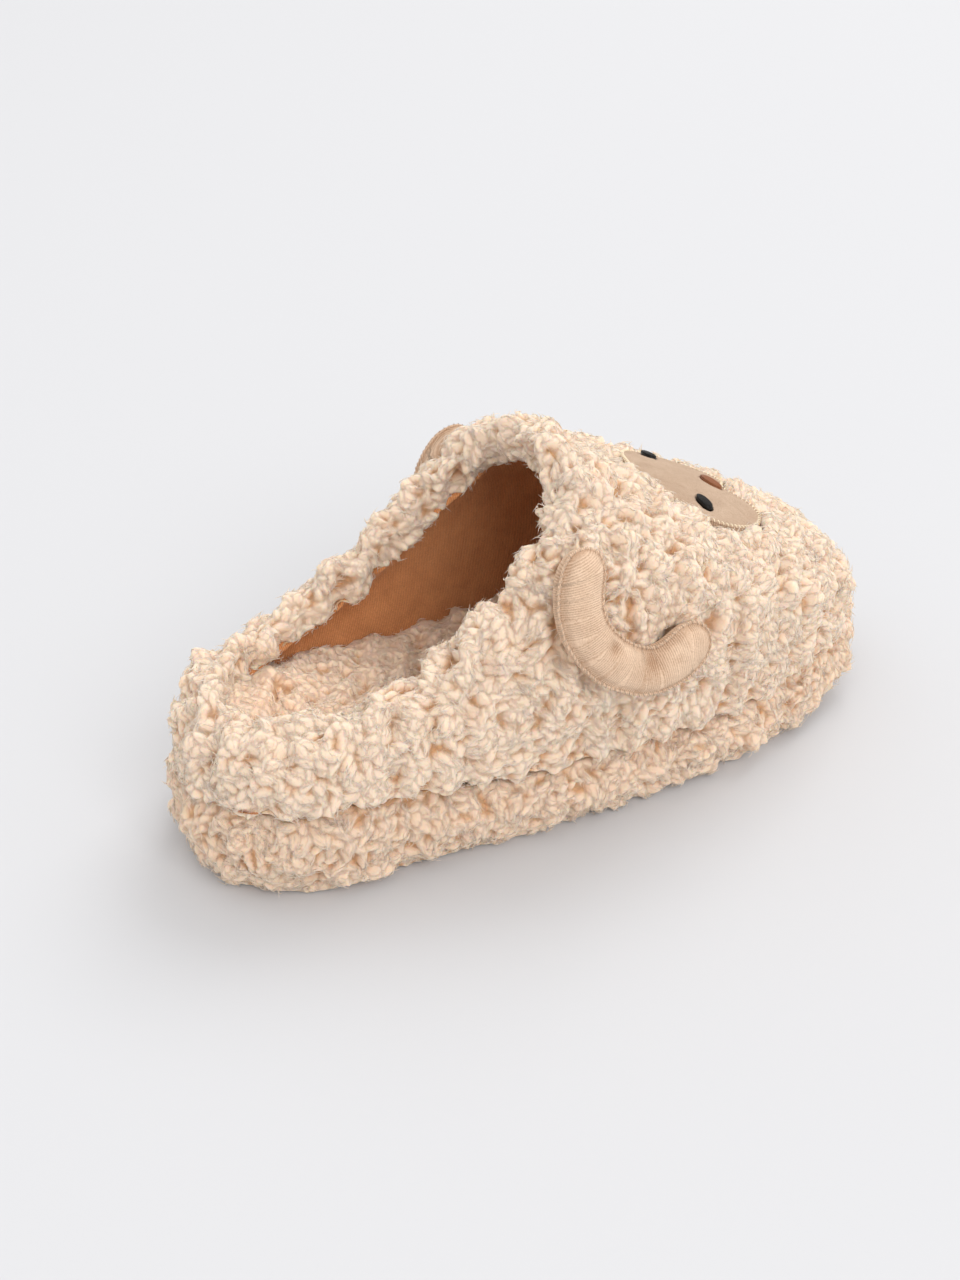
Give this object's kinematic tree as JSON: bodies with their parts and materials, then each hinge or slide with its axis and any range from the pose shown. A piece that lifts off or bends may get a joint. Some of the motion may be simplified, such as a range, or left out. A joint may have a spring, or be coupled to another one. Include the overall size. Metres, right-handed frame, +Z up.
{
  "type": "plush slipper",
  "caption": "Soft slip-on plush slipper for the right foot: curly pile upper and sole band, low heel collar, padded side horns and a simple stitched animal face on the vamp.",
  "frame": {"origin": "on the floor, under the centre of the slipper's bounding box", "axes": "+X from heel to toe, +Y to the inner side of the foot, +Z up"},
  "size_m": [0.2726, 0.1286, 0.1245],
  "materials": {
    "outsole_sheet": "matte, fine dotted tread",
    "sole_pile": "curly pile",
    "insole_pile": "short curly pile",
    "upper_pile": "curly pile",
    "face_velour": "short velour with sheen",
    "horn_velour": "short velour with sheen",
    "eye_thread": "satin stitch",
    "nose_thread": "satin stitch"
  },
  "bodies": {
    "root": {"outsole": "outsole_sheet", "sole_wrap": "sole_pile", "insole": "insole_pile", "upper": "upper_pile", "face_panel": "face_velour", "horn_outer": "horn_velour", "horn_inner": "horn_velour", "eye_outer": "eye_thread", "eye_inner": "eye_thread", "nose": "nose_thread"}
  },
  "joints": []
}
